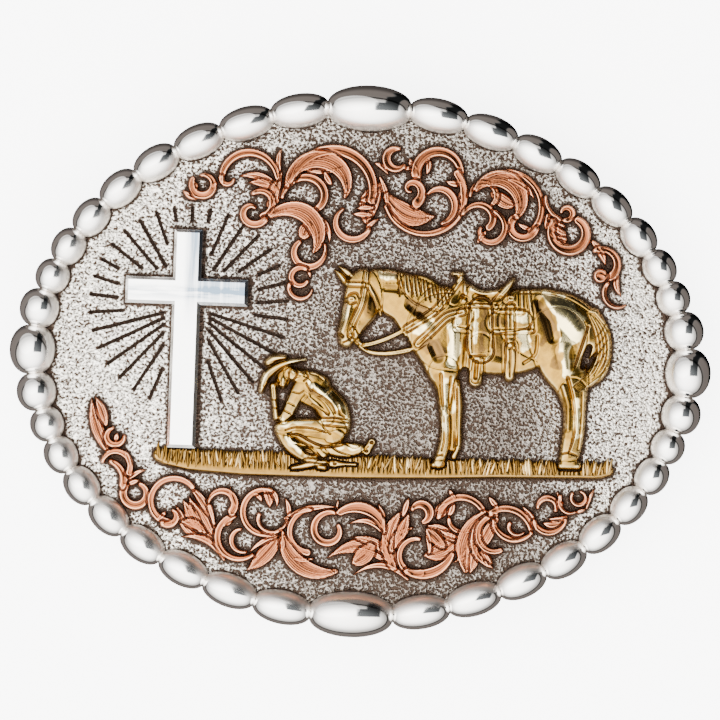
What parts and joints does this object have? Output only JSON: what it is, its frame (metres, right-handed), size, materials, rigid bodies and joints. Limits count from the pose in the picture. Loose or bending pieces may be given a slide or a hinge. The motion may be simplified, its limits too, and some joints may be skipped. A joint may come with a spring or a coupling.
{
  "type": "western belt buckle",
  "caption": "Oval domed western belt buckle with a beaded rim, a horse, a kneeling cowboy and a cross over copper scrollwork, with a belt loop and a prong behind.",
  "frame": {"origin": "under the middle of the oval, on the surface that the buckle lies on, face up", "axes": "+X along the oval, from left to right as seen from the front; +Y up across the oval; +Z out of the face"},
  "size_m": [0.1016, 0.0798, 0.015],
  "materials": {
    "antique_silver": "stippled ground, darkened in its pits",
    "bright_silver": "polished beads with dark joints",
    "polished_silver": "mirror",
    "gold": "polished cast gold plating, darkened in its recesses",
    "copper": "satin copper plating, darkened in its recesses",
    "nickel_wire": "plain nickel plating"
  },
  "bodies": {
    "root": {"plate": "antique_silver", "bead_rim": "bright_silver", "cross": "polished_silver", "ground": "gold", "horse": "gold", "cowboy": "gold", "scroll_upper": "copper", "scroll_lower": "copper", "belt_loop": "nickel_wire", "prong": "nickel_wire"}
  },
  "joints": []
}
